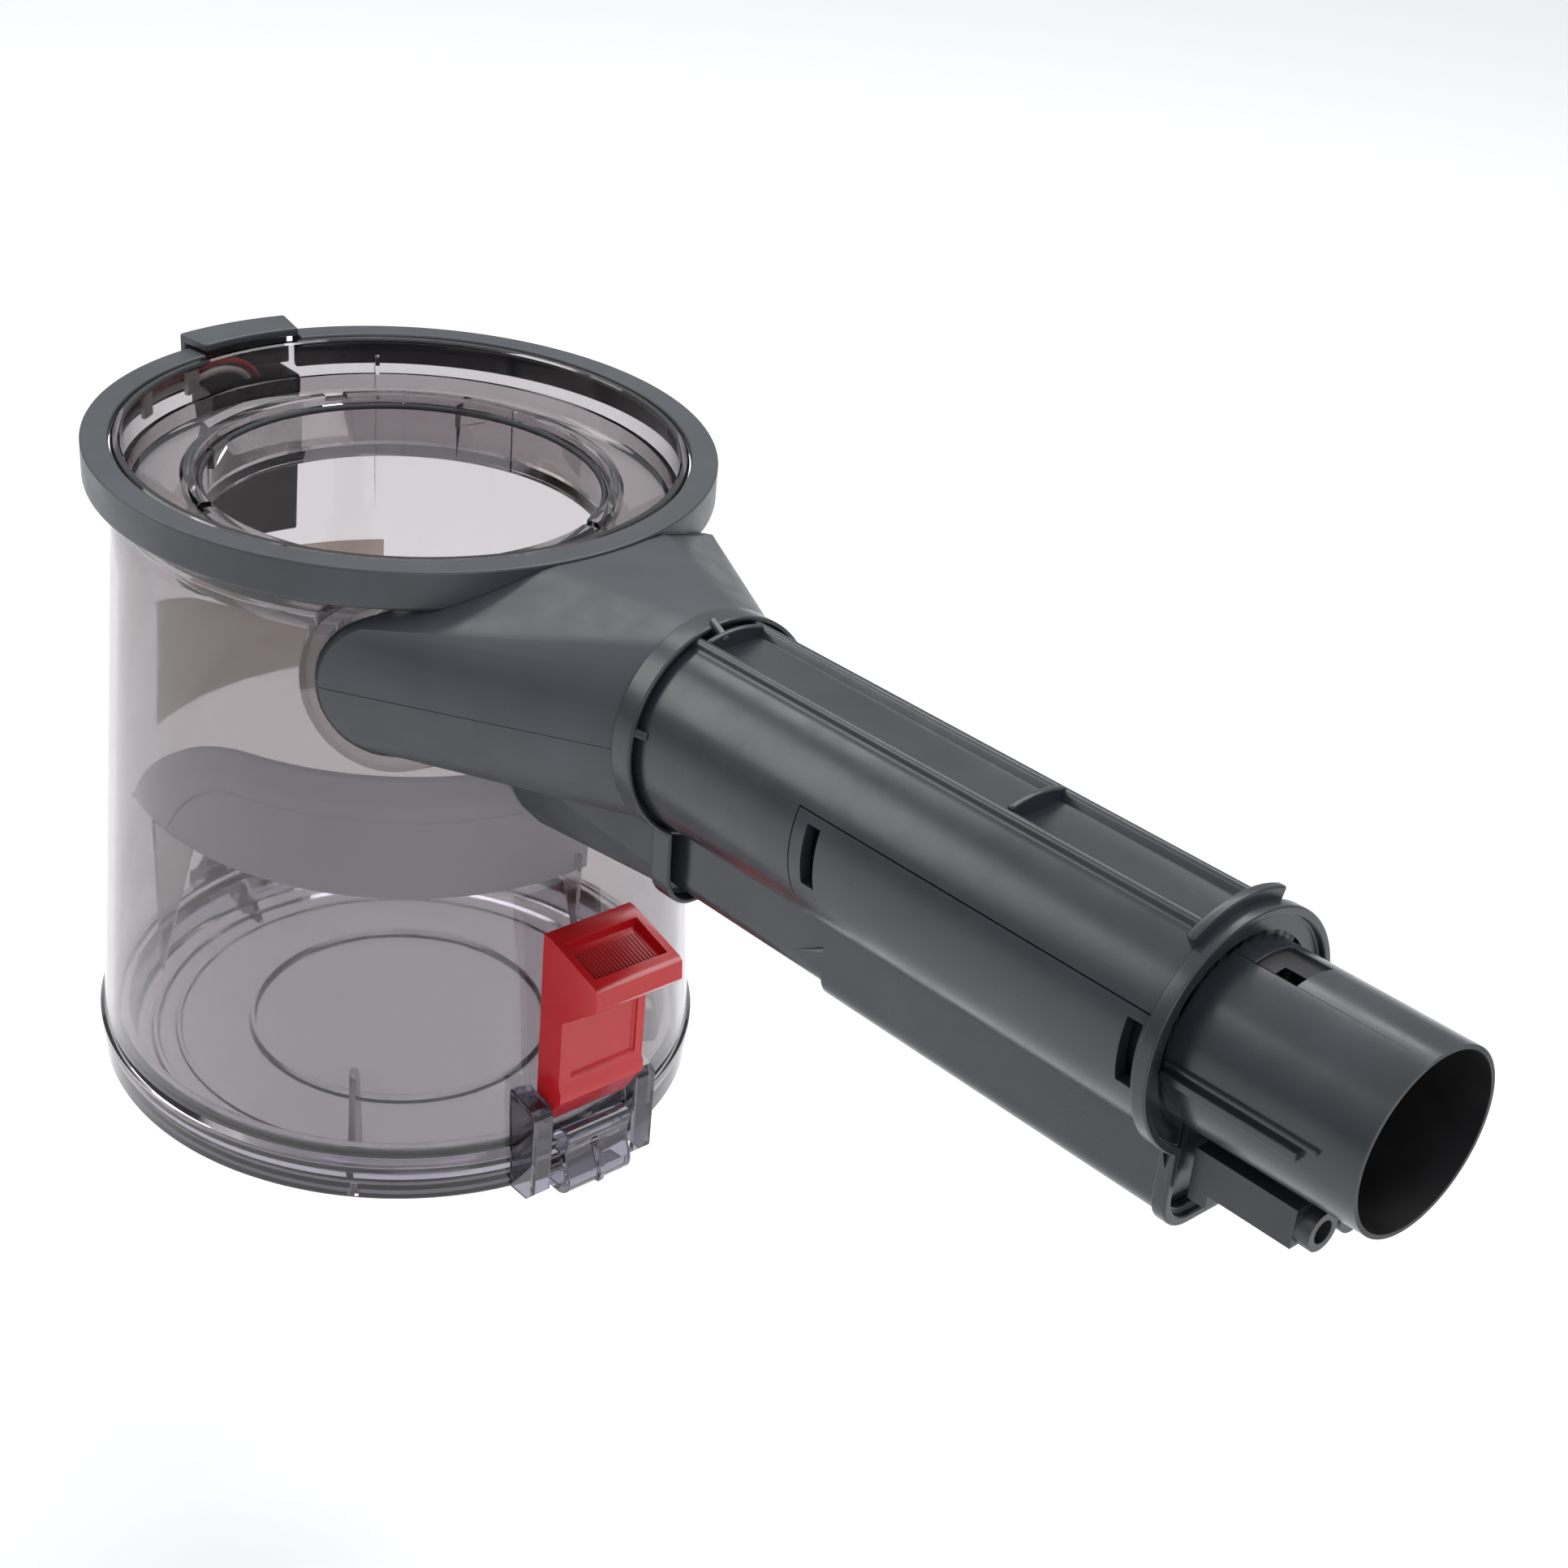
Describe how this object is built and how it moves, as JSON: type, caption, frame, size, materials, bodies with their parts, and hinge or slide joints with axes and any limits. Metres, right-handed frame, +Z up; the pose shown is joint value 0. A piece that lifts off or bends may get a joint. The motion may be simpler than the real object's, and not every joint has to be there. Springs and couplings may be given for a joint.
{
  "type": "stick vacuum dust bin with inlet tube",
  "caption": "Clear dust bin of a cordless stick vacuum with a hinged drop lid, red release slider, slate collar, tangential inlet hood and a long inlet tube with a wired spigot end.",
  "frame": {"origin": "centre of the lid's flat underside, on the bin's own axis", "axes": "+Z up along the bin's axis, +X towards the mouth of the inlet tube, +Y across"},
  "size_m": [0.3589, 0.1442, 0.164],
  "materials": {
    "clear_plastic": "clear smoked polycarbonate, polished",
    "slate_plastic": "slate grey moulded plastic, satin",
    "black_plastic": "black moulded plastic",
    "red_plastic": "red moulded plastic, satin gloss",
    "seal_rubber": "moulded rubber seal",
    "zinc_steel": "zinc plated steel",
    "contact_brass": "stamped brass contact",
    "red_insulation": "red wire insulation",
    "white_insulation": "white wire insulation",
    "white_plastic": "natural nylon clip",
    "label_film": "plain printed film, blank"
  },
  "bodies": {
    "bin": {"bin_shell": "clear_plastic", "top_collar": "slate_plastic", "rim_cover": "slate_plastic", "cyclone_seat": "clear_plastic", "seat_seal": "seal_rubber", "volute_baffle": "clear_plastic", "spine_housing": "black_plastic", "spine_screw_lower": "zinc_steel", "spine_screw_upper": "zinc_steel", "supply_contact_left": "contact_brass", "supply_contact_right": "contact_brass", "label_blank": "label_film", "inlet_hood": "slate_plastic", "hood_seal": "seal_rubber", "tube_body": "slate_plastic", "spigot_tube": "slate_plastic", "cable_cover": "slate_plastic", "connector_block": "black_plastic", "socket_contact_left": "contact_brass", "socket_contact_right": "contact_brass", "red_wire": "red_insulation", "white_wire": "white_insulation", "wire_clip_a": "white_plastic", "wire_clip_b": "white_plastic", "hinge_pin": "zinc_steel", "release_spring": "zinc_steel"},
    "lid": {"lid": "clear_plastic", "lid_seal": "seal_rubber"},
    "catch": {"lid_catch": "clear_plastic"},
    "button": {"release_button": "red_plastic"}
  },
  "joints": [
    {"name": "lid_hinge", "type": "hinge", "parent": "bin", "child": "lid", "pos_m": [-0.0764, 0, 0.0062], "axis": [0, 1, 0], "range_deg": [0, 95]},
    {"name": "release_slide", "type": "slide", "parent": "bin", "child": "button", "axis": [0, 0, -1], "range_m": [0, 0.006], "stiffness_N_per_m": 300, "springref_m": -0.01, "deforming": ["release_spring"]},
    {"name": "catch_flex", "type": "hinge", "parent": "lid", "child": "catch", "pos_m": [0.0742, 0, 0.0026], "axis": [0, 1, 0], "range_deg": [0, 8.2]}
  ],
  "couplings": [
    {"joint": "catch_flex", "follows": "release_slide", "rad_per_m": 23.27}
  ]
}
